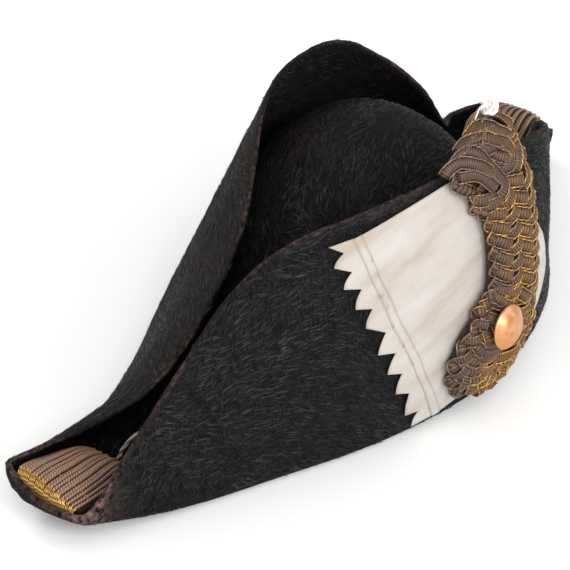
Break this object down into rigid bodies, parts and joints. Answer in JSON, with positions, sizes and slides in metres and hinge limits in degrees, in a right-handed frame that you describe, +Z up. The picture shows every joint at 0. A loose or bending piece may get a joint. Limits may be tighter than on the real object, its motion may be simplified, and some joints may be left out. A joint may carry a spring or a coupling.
{
  "type": "bicorne hat",
  "caption": "Black felt bicorne hat: flat brim folded up into a front flap and a taller rear fan, with a pinked silk cockade, a plaited bullion loop and button, and tassels in both tips.",
  "frame": {"origin": "on the resting surface, under the middle of the whole hat's box", "axes": "+X runs along the hat from the wearer's left-hand tip as seen in the picture to the other tip, the front flap with the cockade faces -Y, +Z is up"},
  "size_m": [0.4582, 0.1994, 0.1619],
  "materials": {
    "felt": "black beaver felt with a brushed nap",
    "silk": "cream silk ribbon, slight sheen",
    "bullion": "tarnished gold bullion cord",
    "gilt": "polished copper gilt",
    "cotton": "matt white cotton thread"
  },
  "bodies": {
    "root": {"felt_body": "felt", "cockade": "silk", "agraffe": "bullion", "button": "gilt", "loop_knot": "cotton", "tassel_left": "bullion", "tassel_right": "bullion", "tassel_loop": "bullion"}
  },
  "joints": []
}
